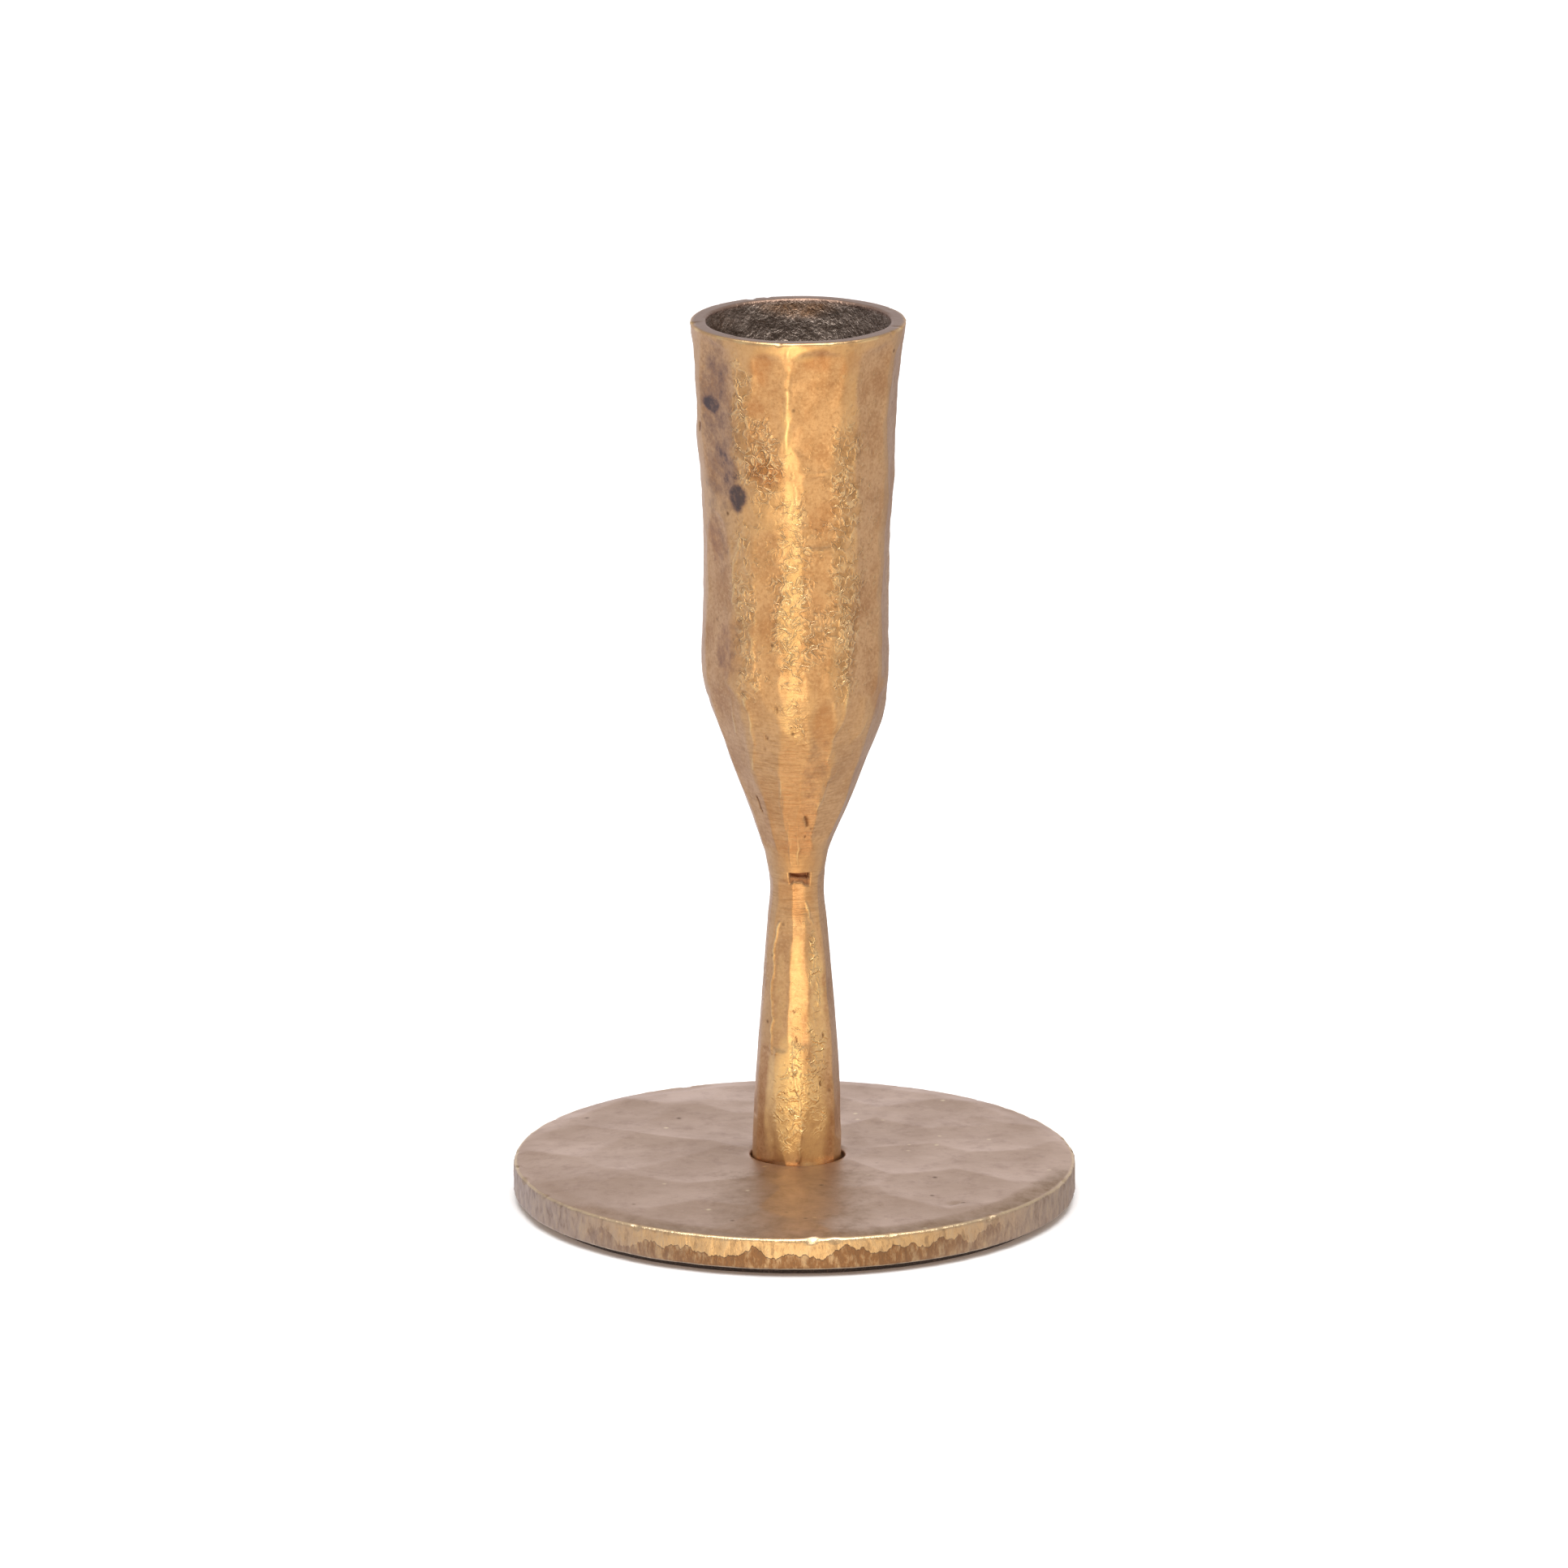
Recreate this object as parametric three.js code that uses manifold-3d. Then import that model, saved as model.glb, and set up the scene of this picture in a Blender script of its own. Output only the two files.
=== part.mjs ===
// A hand-forged brass candlestick: a flared candle cup on a waisted stem, standing on a round hammered plate.
//
// The cup's cone is bored from below and brazed over the stem's spigot, just above the waist. The stem's foot stands in a
// shallow recess in the plate, and a countersunk screw draws it down from underneath. A felt ring under the
// plate keeps the brass off the table and leaves the screw within reach.
//
// Units are millimetres, +Z is up, and the origin is the centre of the felt's underside, on the table.
// Angles round the upright axis are measured from the front (-Y) towards +X.

import * as THREE from "three";
import Module from "manifold-3d";
import { mergeVertices } from "three/addons/utils/BufferGeometryUtils.js";

// Driving dimensions
const HEIGHT = 115;
const PLATE_RADIUS = 36;
const RIM_RADIUS = 13.6;
const MOUTH_RADIUS = 11.7;
const BARREL_RADIUS = 11.8;
const WAIST_RADIUS = 3.46;
const JOINT_RADIUS = 3.64;
const FOOT_RADIUS = 5.7;
const WAIST_HEIGHT = 41.2;
const JOINT_HEIGHT = 43.8;
const SHOULDER_HEIGHT = 72;

// Felt ring
const FELT_THICKNESS = 1;
const FELT_INSET = 2;
const FELT_HOLE_RADIUS = 5;

// Plate: hammered a little thinner towards its edge, so that its top is slightly domed
const EDGE_THICKNESS = 4;
const CENTRE_THICKNESS = 4.8;
const EDGE_ROUND = 0.3;
const BEVEL_WIDTH = 3;
const BEVEL_DROP = 0.35;
const RECESS_RADIUS = FOOT_RADIUS + 0.3;
const RECESS_DEPTH = 1.5;

const PLATE_BOTTOM = FELT_THICKNESS;
const EDGE_TOP = PLATE_BOTTOM + EDGE_THICKNESS;
const PLATE_TOP = PLATE_BOTTOM + CENTRE_THICKNESS;
const RECESS_FLOOR = PLATE_TOP - RECESS_DEPTH;

// Candle socket: its draft wedges a 22 mm candle about half way down
const SOCKET_DEPTH = 36;
const SOCKET_FLOOR = HEIGHT - SOCKET_DEPTH;
const SOCKET_FLOOR_RADIUS = 10.4;
const SOCKET_CORNER = 0.9;
const RIM_ROUND = 0.25;

// Brazed joint between the cup and the stem
const SPIGOT_RADIUS = 1.8;
const SPIGOT_LENGTH = 10;
const BRAZE_GAP = 0.1;

// M4 slotted countersunk screw, seen with its head down
const THREAD_RADIUS = 1.95;
const THREAD_ROOT_RADIUS = 1.6;
const THREAD_PITCH = 0.7;
const SCREW_LENGTH = 12;
const HEAD_RADIUS = 3.75;
const HEAD_LAND = 0.2;
const HEAD_SUNK = 0.15;
const SLOT_WIDTH = 1.2;
const SLOT_DEPTH = 1;
const COUNTERSINK_RADIUS = 4.2;
const CLEARANCE_RADIUS = 2.25;
const TAPPED_RADIUS = 2.05;
const TAPPED_DEPTH = 10.4;
const DRILL_POINT = 1.2;

// Hammered flats that run lengthwise on the cup and the stem
const FLAT_COUNT = 10;
const FLATNESS = 0.55;
const CUP_RIDGE = THREE.MathUtils.degToRad(-6);
const STEM_RIDGE = THREE.MathUtils.degToRad(-12);

const TURNED_SEGMENTS = 60;
const SCREW_SEGMENTS = 24;
const MERGE_DISTANCE = 1e-4;

const point = (radius, height) => new THREE.Vector2(radius, height);

// Turns a profile of radius and height about the upright axis.
function turn(profile, segments = TURNED_SEGMENTS) {
  return new THREE.LatheGeometry(profile, segments).rotateX(Math.PI / 2);
}

// Turns a profile, then draws the points of its forged outline in towards the axis between the ridges.
function forge(profile, outline, ridgeAngle) {
  const geometry = turn(profile);
  const position = geometry.getAttribute("position");
  const flatAngle = (2 * Math.PI) / FLAT_COUNT;
  for (let i = 0; i < position.count; i++) {
    if (!outline.includes(profile[i % profile.length])) continue;
    const angle = Math.atan2(position.getX(i), -position.getY(i));
    const pastRidge = THREE.MathUtils.euclideanModulo(angle - ridgeAngle, flatAngle);
    const flat = Math.cos(flatAngle / 2) / Math.cos(pastRidge - flatAngle / 2);
    const drawnIn = 1 - FLATNESS * (1 - flat);
    position.setXY(i, position.getX(i) * drawnIn, position.getY(i) * drawnIn);
  }
  return geometry;
}

// A closed geometry as a manifold-3d solid.
function solidOf(wasm, geometry) {
  const bare = geometry.clone().deleteAttribute("normal").deleteAttribute("uv");
  const merged = mergeVertices(bare, MERGE_DISTANCE);
  return new wasm.Manifold(
    new wasm.Mesh({
      numProp: 3,
      vertProperties: merged.getAttribute("position").array,
      triVerts: new Uint32Array(merged.index.array),
    }),
  );
}

function geometryOf(solid) {
  const mesh = solid.getMesh();
  const geometry = new THREE.BufferGeometry();
  geometry.setAttribute("position", new THREE.BufferAttribute(mesh.vertProperties, 3));
  geometry.setIndex(new THREE.BufferAttribute(mesh.triVerts, 1));
  geometry.computeVertexNormals();
  return geometry;
}

// Cup: a solid cone that opens into a long barrel and flares to the rim.
function candleCup() {
  const outside = new THREE.Path();
  outside.moveTo(JOINT_RADIUS, JOINT_HEIGHT);
  outside.quadraticCurveTo(JOINT_RADIUS + 0.26, JOINT_HEIGHT + 2, JOINT_RADIUS + 1.45, JOINT_HEIGHT + 4.9);
  outside.lineTo(BARREL_RADIUS - 1.8, SHOULDER_HEIGHT - 10.5);
  outside.quadraticCurveTo(BARREL_RADIUS + 0.1, SHOULDER_HEIGHT - 5.6, BARREL_RADIUS + 0.05, SHOULDER_HEIGHT);
  outside.lineTo(BARREL_RADIUS, HEIGHT - 31);
  outside.quadraticCurveTo(BARREL_RADIUS, HEIGHT - 25, RIM_RADIUS - 1.25, HEIGHT - 17.5);
  outside.lineTo(RIM_RADIUS, HEIGHT - RIM_ROUND);
  const outline = [...outside.getPoints(6), point(RIM_RADIUS - RIM_ROUND, HEIGHT)];

  const profile = [
    point(0, JOINT_HEIGHT + SPIGOT_LENGTH + BRAZE_GAP),
    point(SPIGOT_RADIUS + BRAZE_GAP, JOINT_HEIGHT + SPIGOT_LENGTH + BRAZE_GAP),
    point(SPIGOT_RADIUS + BRAZE_GAP, JOINT_HEIGHT),
    ...outline,
    point(MOUTH_RADIUS + RIM_ROUND, HEIGHT),
    point(MOUTH_RADIUS, HEIGHT - RIM_ROUND),
    point(SOCKET_FLOOR_RADIUS, SOCKET_FLOOR + SOCKET_CORNER),
    point(SOCKET_FLOOR_RADIUS - SOCKET_CORNER, SOCKET_FLOOR),
    point(0, SOCKET_FLOOR),
  ];
  return forge(profile, outline, CUP_RIDGE);
}

// Stem: narrowest at its waist and widening to the foot, with a spigot above and a tapped hole below.
function stem() {
  const outside = new THREE.Path();
  outside.moveTo(FOOT_RADIUS, RECESS_FLOOR + EDGE_ROUND);
  outside.quadraticCurveTo(FOOT_RADIUS - 0.05, PLATE_TOP + 5, FOOT_RADIUS - 0.4, PLATE_TOP + 11);
  outside.lineTo(WAIST_RADIUS + 0.4, WAIST_HEIGHT - 5.2);
  outside.quadraticCurveTo(WAIST_RADIUS, WAIST_HEIGHT - 2.2, WAIST_RADIUS, WAIST_HEIGHT);
  outside.quadraticCurveTo(WAIST_RADIUS, WAIST_HEIGHT + 1.6, JOINT_RADIUS, JOINT_HEIGHT);
  const outline = outside.getPoints(5);

  const profile = [
    point(0, RECESS_FLOOR + TAPPED_DEPTH + DRILL_POINT),
    point(TAPPED_RADIUS, RECESS_FLOOR + TAPPED_DEPTH),
    point(TAPPED_RADIUS, RECESS_FLOOR),
    point(FOOT_RADIUS - EDGE_ROUND, RECESS_FLOOR),
    ...outline,
    point(SPIGOT_RADIUS, JOINT_HEIGHT),
    point(SPIGOT_RADIUS, JOINT_HEIGHT + SPIGOT_LENGTH - EDGE_ROUND),
    point(SPIGOT_RADIUS - EDGE_ROUND, JOINT_HEIGHT + SPIGOT_LENGTH),
    point(0, JOINT_HEIGHT + SPIGOT_LENGTH),
  ];
  return forge(profile, outline, STEM_RIDGE);
}

// Plate: recessed on top for the foot, countersunk underneath for the screw.
function basePlate() {
  const top = new THREE.Path();
  top.moveTo(PLATE_RADIUS - EDGE_ROUND, EDGE_TOP);
  top.lineTo(PLATE_RADIUS - BEVEL_WIDTH, EDGE_TOP + BEVEL_DROP);
  top.quadraticCurveTo(PLATE_RADIUS / 2, PLATE_TOP, RECESS_RADIUS + EDGE_ROUND, PLATE_TOP);

  return turn([
    point(COUNTERSINK_RADIUS, PLATE_BOTTOM),
    point(PLATE_RADIUS - EDGE_ROUND, PLATE_BOTTOM),
    point(PLATE_RADIUS, PLATE_BOTTOM + EDGE_ROUND),
    point(PLATE_RADIUS, EDGE_TOP - EDGE_ROUND),
    ...top.getPoints(5),
    point(RECESS_RADIUS, PLATE_TOP - EDGE_ROUND),
    point(RECESS_RADIUS, RECESS_FLOOR),
    point(CLEARANCE_RADIUS, RECESS_FLOOR),
    point(CLEARANCE_RADIUS, PLATE_BOTTOM + COUNTERSINK_RADIUS - CLEARANCE_RADIUS),
    point(COUNTERSINK_RADIUS, PLATE_BOTTOM),
  ]);
}

// Screw: a right-angled head, then a thread drawn as plain rings of the thread's own pitch.
function baseScrew(wasm) {
  const headFace = PLATE_BOTTOM + HEAD_SUNK;
  const threadStart = headFace + HEAD_LAND + HEAD_RADIUS - THREAD_RADIUS;
  const tip = headFace + SCREW_LENGTH;
  const profile = [point(0, headFace), point(HEAD_RADIUS, headFace), point(HEAD_RADIUS, headFace + HEAD_LAND)];
  for (let height = threadStart; height + THREAD_PITCH < tip; height += THREAD_PITCH) {
    profile.push(point(THREAD_RADIUS, height), point(THREAD_ROOT_RADIUS, height + THREAD_PITCH / 2));
  }
  profile.push(point(THREAD_ROOT_RADIUS, tip), point(0, tip));

  const slot = new THREE.BoxGeometry(3 * HEAD_RADIUS, SLOT_WIDTH, 2 * SLOT_DEPTH);
  slot.translate(0, 0, headFace);
  return geometryOf(solidOf(wasm, turn(profile, SCREW_SEGMENTS)).subtract(solidOf(wasm, slot)));
}

function feltPad() {
  const outer = PLATE_RADIUS - FELT_INSET;
  return turn([
    point(FELT_HOLE_RADIUS, 0),
    point(outer, 0),
    point(outer, FELT_THICKNESS),
    point(FELT_HOLE_RADIUS, FELT_THICKNESS),
    point(FELT_HOLE_RADIUS, 0),
  ]);
}

const forgedBrass = new THREE.MeshStandardMaterial({ color: 0xc9954f, roughness: 0.32, metalness: 1 });
const hammeredBrass = new THREE.MeshStandardMaterial({ color: 0xa88766, roughness: 0.42, metalness: 1 });
const screwBrass = new THREE.MeshStandardMaterial({ color: 0xc8a86a, roughness: 0.3, metalness: 1 });
const brownFelt = new THREE.MeshStandardMaterial({ color: 0x3a2a22, roughness: 0.95, metalness: 0 });

const wasm = await Module();
wasm.setup();

const candlestick = new THREE.Group();
const pieces = {
  candle_cup: [candleCup(), forgedBrass],
  stem: [stem(), forgedBrass],
  base_plate: [basePlate(), hammeredBrass],
  base_screw: [baseScrew(wasm), screwBrass],
  felt_pad: [feltPad(), brownFelt],
};
for (const [name, [geometry, material]] of Object.entries(pieces)) {
  const mesh = new THREE.Mesh(geometry, material);
  mesh.name = name;
  candlestick.add(mesh);
}

export default candlestick;
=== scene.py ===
"""The looks of a hand-forged brass candlestick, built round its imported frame.

Shapes are worked in millimetres in the frame's own axes and scaled to metres at the end. An angle is measured
round a piece from the front (-Y) towards +X, in degrees, and a height is above the table.
"""

import math

import bmesh
import bpy
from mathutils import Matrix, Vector, noise


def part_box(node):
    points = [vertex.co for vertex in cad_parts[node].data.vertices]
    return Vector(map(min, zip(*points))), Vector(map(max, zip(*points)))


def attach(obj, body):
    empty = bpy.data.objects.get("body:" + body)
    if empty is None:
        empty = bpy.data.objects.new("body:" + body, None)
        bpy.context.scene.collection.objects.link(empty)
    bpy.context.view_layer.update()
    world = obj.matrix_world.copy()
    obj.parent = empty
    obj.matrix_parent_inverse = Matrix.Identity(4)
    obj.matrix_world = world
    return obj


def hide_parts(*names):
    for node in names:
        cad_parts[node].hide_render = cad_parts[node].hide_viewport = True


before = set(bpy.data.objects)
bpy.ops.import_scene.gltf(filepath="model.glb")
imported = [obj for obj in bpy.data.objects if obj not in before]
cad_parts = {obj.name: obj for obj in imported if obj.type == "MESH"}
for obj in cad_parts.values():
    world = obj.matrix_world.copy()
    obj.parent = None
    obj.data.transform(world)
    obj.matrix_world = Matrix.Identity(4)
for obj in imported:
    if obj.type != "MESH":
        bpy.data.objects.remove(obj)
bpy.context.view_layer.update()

MM = 0.001


def box_mm(node_name):
    """A CAD node's lowest and highest corners in millimetres."""
    low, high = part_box(node_name)
    return low / MM, high / MM


cup_low, cup_high = box_mm("candle_cup")
stem_low, _ = box_mm("stem")
plate_low, plate_high = box_mm("base_plate")
felt_low, felt_high = box_mm("felt_pad")

# Sizes in millimetres that the frame's boxes don't give
RIM_RADIUS = 13.6
MOUTH_RADIUS = 11.7
SOCKET_DEPTH = 36
SOCKET_FLOOR_RADIUS = 10.4
MOUTH_DEPTH = 8
RIM_DIP = 0.12
RIM_DIP_REACH = 3
SPIGOT_RADIUS = 1.8
SPIGOT_LENGTH = 10
BRAZE_GAP = 0.1
TAPPED_RADIUS = 2.05
TAPPED_DEPTH = 10.4
FOOT_RADIUS = 5.7
RECESS_RADIUS = 6.0
EDGE_THICKNESS = 4
CLEARANCE_RADIUS = 2.25
COUNTERSINK_RADIUS = 4.2
FELT_HOLE_RADIUS = 5

# How finely the pieces are meshed: the spacing up them, and ten steps in each sector round them
CUP_SPACING = 0.32
MOUTH_SPACING = 0.42
SOCKET_SPACING = 1.6
STEM_SPACING = 0.2
PLATE_SPACING = 0.5
CUP_SECTORS = 32
STEM_SECTORS = 22
PLATE_SECTORS = 54
SECTOR_CUTS = 9

# Outer outlines as (height, radius)
CUP_OUTLINE = [
    (43.8, 3.64), (46.2, 4.15), (48.7, 5.1), (51.3, 6.1), (61.5, 10.0), (64.1, 10.87), (66.6, 11.4),
    (69.2, 11.8), (72, 11.88), (78, 11.78), (87, 11.82), (93, 12.1), (98.3, 12.47), (106, 12.95), (115, 13.6),
]
STEM_OUTLINE = [
    (4.3, 5.7), (9, 5.62), (16.5, 5.33), (25.6, 4.68), (33.3, 4.06), (35.9, 3.86), (37.5, 3.7), (39.5, 3.48),
    (41.5, 3.45), (43.8, 3.64),
]

# How far the forged pieces' axis wanders to the right of the plate's, as (height, distance)
WANDER = [
    (5, 0.26), (20, 0.42), (41, 0.29), (47, 0.22), (51.5, 0.43), (57, 0.46), (62.5, 0.55),
    (69, 0.1), (73, 0.12), (82, 0.25), (96, 0.35), (101, 0.18), (106, 0.22), (115, 0.44),
]

# How flats are cut into the round surface and raw skin is left between them, in millimetres
FLAT_MARGIN = 1
FLAT_SWELL = 0.07
END_RUN = 1.6
END_RISE = 0.3
END_WANDER = 1.0
EDGE_ROUNDING = 0.08
CREST_WIDTH = 0.05
SKIN_FADE = 0.22
CUP_SKIN_DEPTH = 0.085
STEM_SKIN_DEPTH = 0.035
NEAR_FOLD = 4

# How far a flat's sides wander, and how far past them the flat still counts, in degrees
EDGE_WANDER = 4
NEAR_FLAT = 15

# How bright the edge of a flat is beside a fold's crest, and how deep the stem's flats are beside full ones
EDGE_SHINE = 0.12
STEM_FLATNESS = 0.8

# Flats hammered and filed along the cup and the stem, each an outline of (height, left edge, right edge) from
# the bottom up. The cup's barrel comes first and then its cone.
CUP_FLATS = [
    [(98, -20, -10), (100, -27, -8), (105, -29, -6.5), (109, -28, -6), (113, -27, -7), (114.3, -24, -9)],
    [(96.6, 3, 17), (99, 0, 23), (104, -3.5, 25), (109, -4.5, 25.5), (113.2, -4, 25.5), (114.4, 2, 20)],
    [(87, 8, 20), (89, 3, 26), (93, 1, 26), (97, 2, 24), (98.8, 4, 19)],
    [(66, -24, -10), (70, -28, -8), (75, -27, -9), (81, -29, -9), (87, -27, -11), (91.5, -22, -13)],
    [(66, 6, 20), (71, 4, 24), (79, 5, 23), (85, 4, 24), (88.5, 7, 20)],
    [(93, -60, -46), (96, -66, -40), (102, -70, -38), (109, -70, -38), (113.5, -66, -39), (114.7, -60, -45)],
    [(66, -66, -52), (70, -72, -46), (77, -73, -43), (85, -72, -45), (92, -66, -48)],
    [(67, 38, 55), (71, 36, 60), (80, 38, 62), (92, 40, 61), (104, 36, 62), (112, 34, 63), (114.5, 38, 58)],
    [(68, 68, 92), (76, 66, 96), (88, 69, 94), (94, 72, 90)],
    [(92, 72, 84), (97, 68, 98), (106, 66, 99), (113.5, 68, 96)],
    [(68, 104, 126), (77, 101, 131), (86, 103, 128), (92, 107, 122)],
    [(90, 110, 128), (98, 105, 136), (108, 104, 137), (114, 108, 133)],
    [(66, 138, 158), (74, 135, 165), (84, 137, 163), (95, 141, 160)],
    [(97, 146, 162), (103, 142, 171), (110, 143, 172), (114.3, 148, 168)],
    [(67, 172, 196), (76, 170, 201), (88, 172, 199), (99, 175, 194)],
    [(100, 184, 198), (106, 178, 207), (112, 178, 208), (114.5, 184, 203)],
    [(68, 207, 228), (79, 205, 236), (90, 208, 233), (101, 211, 228)],
    [(98, 219, 236), (105, 215, 245), (113.5, 216, 244)],
    [(67, 241, 262), (75, 240, 270), (86, 242, 268), (96, 246, 262)],
    [(97, 254, 270), (104, 250, 283), (113.8, 252, 281)],
    [(70, 274, 283), (80, 272, 284), (90, 275, 283)],
    [(45, -30, -11), (49, -34, -13), (52.5, -37, -17), (58, -40, -15), (62, -36, -14),
     (66, -33, -14), (70.5, -30, -15)],
    [(45, -10, 3), (51, -16, 0), (55, -17, 1), (59, -15, 3), (63, -14, 4), (66.6, -12, 4)],
    [(45, 4, 22), (51, 1, 22), (55, 2, 23), (59, 4, 26), (62, 5, 23), (66, 5, 25), (69, 8, 24)],
    [(47, 24, 52), (51, 23, 56), (54, 23, 58), (57, 29, 58), (60, 29, 56), (63, 26, 50),
     (66, 32, 50), (70, 37, 50)],
    [(46, -66, -36), (53, -70, -39), (58, -72, -43), (63, -72, -40), (67, -70, -38), (70, -64, -40)],
    [(46, 56, 88), (55, 60, 92), (63, 58, 90), (69, 64, 84)],
    [(46, 92, 122), (56, 96, 126), (64, 94, 125), (70, 100, 118)],
    [(46, 126, 158), (54, 129, 160), (63, 130, 158), (69, 136, 152)],
    [(46, 161, 194), (57, 163, 197), (65, 162, 195), (70, 168, 188)],
    [(46, 198, 228), (55, 200, 233), (63, 199, 230), (69, 205, 224)],
    [(46, 232, 262), (56, 236, 265), (64, 234, 262), (70, 240, 256)],
    [(46, 265, 291), (55, 268, 287), (63, 266, 286), (68, 270, 282)],
]
STEM_FLATS = [
    [(20.5, -14, 17), (25, -14, 17), (30, -13, 17), (35, -8, 16), (40, -9, 17), (43.8, -12, 22)],
    [(19.4, -40, -20), (21, -44, -15), (29, -49, -14), (35, -54, -9), (38, -46, -9), (41, -42, -9),
     (43.8, -44, -12)],
    [(4.3, -64, -7), (6, -64, -12), (8, -64, -19), (12, -64, -30), (16, -66, -34), (20, -68, -36),
     (22, -70, -46)],
    [(4.3, 0, 56), (8, 4, 56), (12, 9, 56), (15, 14, 56), (18, 17, 55), (28, 18, 53), (36, 18, 51),
     (40, 20, 47)],
    [(8, 60, 96), (20, 58, 98), (32, 55, 94), (43.8, 50, 92)],
    [(5, 104, 138), (18, 101, 141), (30, 99, 139), (43.8, 98, 136)],
    [(6, 146, 180), (20, 144, 184), (33, 142, 181), (43.8, 140, 178)],
    [(5, 188, 222), (19, 187, 226), (31, 185, 224), (43.8, 184, 222)],
    [(7, 232, 262), (22, 229, 264), (36, 228, 262), (43.8, 228, 264)],
    [(10, 268, 292), (24, 267, 288), (36, 268, 290), (43.8, 270, 300)],
]

# Raised folds left between hammer blows, and hollow cracks, as (rise, width, points), where the points are
# (angle, height) from the top down
CUP_FOLDS = [
    (0.09, 0.45, [(-6, 114), (-4.5, 107), (-6, 101), (-3, 98), (-1, 96), (-1.5, 91)]),
    (0.08, 0.4, [(-38, 89), (-43, 84), (-43, 81), (-37, 79), (-30, 77), (-27, 73), (-30, 70), (-34, 67)]),
    (0.07, 0.35, [(-30, 71), (-34, 68), (-33, 65), (-36, 61), (-42, 58)]),
    (0.08, 0.4, [(-45, 68), (-52, 63)]),
    (0.06, 0.3, [(-15, 57), (-18, 54), (-17, 51.5), (-13, 50), (-13, 47), (-10, 45)]),
    (0.05, 0.4, [(-3, 51), (2, 48), (4, 45)]),
    (0.1, 0.35, [(34, 70), (32, 66), (25, 63), (23, 61), (26, 58), (28, 56), (22, 53)]),
    (0.1, 0.35, [(26, 68), (25, 64)]),
    (0.08, 0.35, [(53, 65), (48, 63), (40, 62)]),
    (0.08, 0.35, [(35, 58), (28, 57)]),
    (-0.14, 0.3, [(8, 51.9), (9.5, 51.2), (11, 50.4)]),
    (-0.14, 0.4, [(-71, 102.8), (-72, 101.9)]),
    (-0.1, 0.3, [(-52, 54), (-49, 52.6), (-46, 52)]),
    (-0.1, 0.25, [(-25, 61.5), (-24.5, 61.3)]),
    (-0.1, 0.25, [(-24, 63.1), (-23.5, 62.8)]),
    (-0.04, 0.2, [(-14, 67.3), (-13, 66.7)]),
    (-0.08, 0.2, [(14, 49.2), (15, 49)]),
    (-0.08, 0.4, [(-12, 79), (-7, 80)]),
    (-0.08, 0.4, [(12, 77.6), (18, 78.4)]),
    (0.1, 0.5, [(118, 96), (124, 88), (121, 80), (126, 74)]),
    (0.12, 0.5, [(200, 92), (206, 85), (203, 78), (208, 70)]),
    (0.1, 0.5, [(250, 110), (247, 103), (252, 96)]),
]
STEM_FOLDS = [
    (0.13, 0.34, [(-38, 37), (-50, 34), (-48, 29), (-45, 23), (-42, 20.6), (-36, 19.6), (-31, 20.4)]),
    (0.09, 0.32, [(-5, 22), (-7, 19), (-3, 16), (3, 13), (5, 11), (2, 6)]),
    (0.1, 0.25, [(22, 40), (27, 37.5), (33, 37)]),
    (0.08, 0.25, [(20, 35.8), (28, 35.2), (32, 34)]),
    (0.08, 0.25, [(24, 34.4), (31, 32.6), (26, 30.5)]),
    (0.07, 0.25, [(33, 33), (38, 30), (34, 27.5)]),
    (-0.04, 0.15, [(-8, 25.8), (-2, 25.6)]),
    (-0.04, 0.15, [(-3, 22.6), (0, 22)]),
    (-0.08, 0.3, [(35, 16.4), (37, 16.1)]),
    (-0.05, 0.25, [(42, 22.6), (43, 22.3)]),
]

# Patches on the cup and the stem as (angle, height, half-width in degrees, half-height, strength). Stains are
# oxide, brown up to a strength of about 1 and blue-grey past it.
STAINS = [
    (-51, 109.5, 14, 5, 0.68), (-46, 104.5, 9, 4, 0.64), (-59, 105.6, 10, 1.4, 1.25), (-54, 103, 15, 6, 0.66),
    (-51, 99.2, 10, 2.2, 0.85), (-45, 97, 9, 2.6, 0.85), (-40, 94, 8, 2, 1.25), (-54, 102, 19, 14, 0.58),
    (-58, 89, 13, 6, 0.4), (-48, 74, 15, 4.5, 0.45), (14, 56, 13, 10, 0.32),
    (118, 102, 9, 3, 0.9), (205, 84, 8, 5, 0.8), (240, 106, 7, 2.5, 1.2),
]
# Reds are a copper colour from the fire. In the socket their height is the depth under the rim.
REDS = [
    (-21, 111, 8, 2.4, 0.65), (12, 112.6, 11, 1.5, 0.65), (-24, 106, 4, 1.6, 0.6), (-19, 98, 12, 2.4, 1.0),
    (18, 65, 10, 4, 0.55), (14, 92, 9, 2.4, 0.5), (12, 81, 8, 2, 0.5), (-47, 74, 15, 4.5, 0.55),
    (-62, 88, 10, 3.5, 0.6), (0, 45, 60, 3, 0.4), (-38, 52, 12, 8, 0.35), (30, 112, 6, 2, 0.4),
    (64, 68, 10, 3, 0.5), (150, 80, 12, 5, 0.7), (220, 98, 10, 4, 0.7), (100, 108, 10, 3, 0.6),
]
SOCKET_REDS = [(180, 0.6, 28, 2.2, 0.7), (-120, 2, 20, 3, 0.3)]
STEM_REDS = [
    (-20, 12, 26, 8, 0.6), (30, 9, 30, 6, 0.75), (-4, 8, 40, 4, 0.6), (3, 21, 16, 8, 0.35),
    (2, 40, 20, 3.5, 0.6), (0, 41, 60, 4, 0.45), (-58, 14, 14, 10, 0.4), (160, 12, 30, 9, 0.5),
]
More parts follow.
